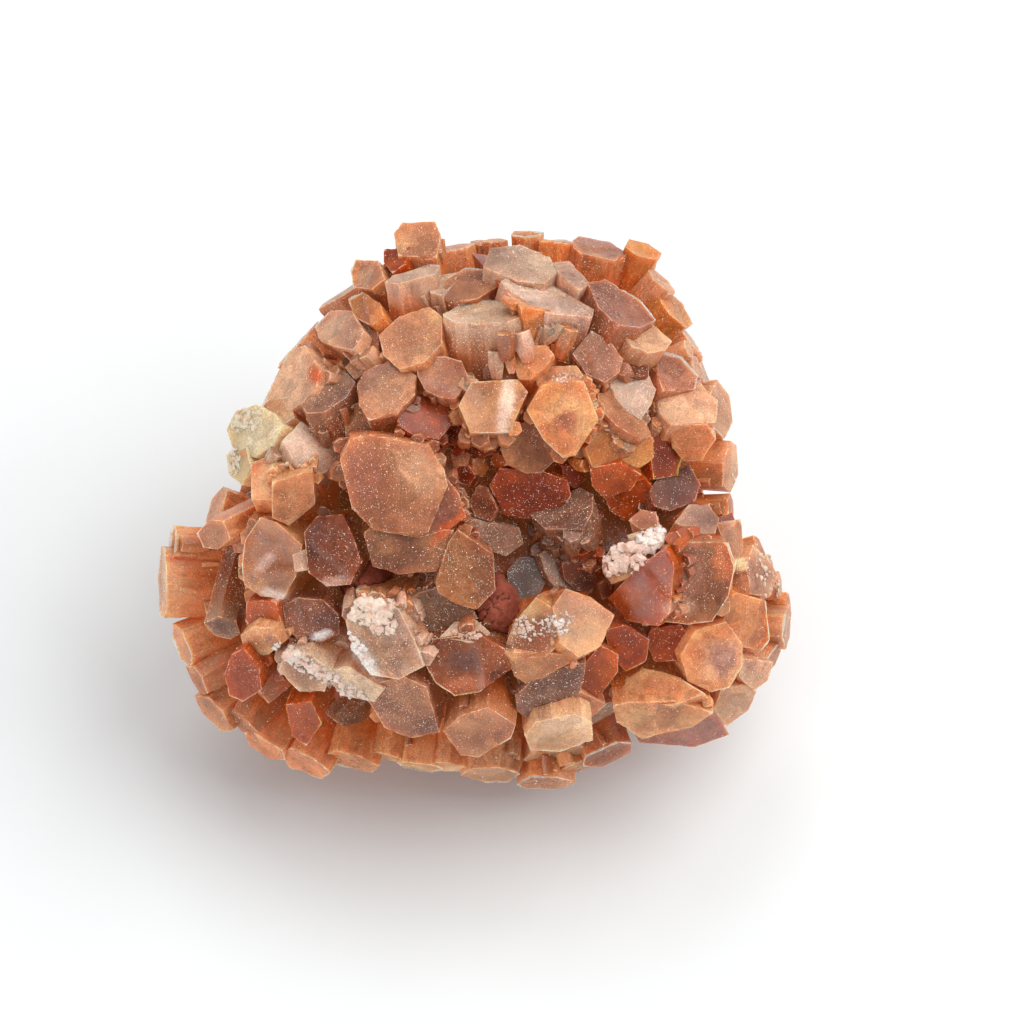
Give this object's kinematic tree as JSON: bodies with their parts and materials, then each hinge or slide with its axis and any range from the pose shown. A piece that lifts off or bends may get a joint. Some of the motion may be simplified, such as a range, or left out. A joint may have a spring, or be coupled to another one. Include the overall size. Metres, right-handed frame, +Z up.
{
  "type": "aragonite sputnik cluster",
  "caption": "Natural cluster of orange-brown pseudo-hexagonal aragonite prisms radiating from one centre, with dried red clay in its hollows.",
  "frame": {"origin": "centre of the bounding box's footprint, on the surface that the cluster rests on", "axes": "+Z up, +X along the cluster's longest side, -Y towards the viewer of its best face, which looks up and forward"},
  "size_m": [0.0643, 0.0528, 0.0508],
  "materials": {
    "aragonite": "frosted translucent crystal, salmon to mauve-brown, paler at worn rims and rust-orange towards the roots",
    "red_clay": "dull dried red clay with drying cracks"
  },
  "bodies": {
    "root": {"crystal_cluster": "aragonite", "red_clay_middle": "red_clay", "red_clay_left": "red_clay"}
  },
  "joints": []
}
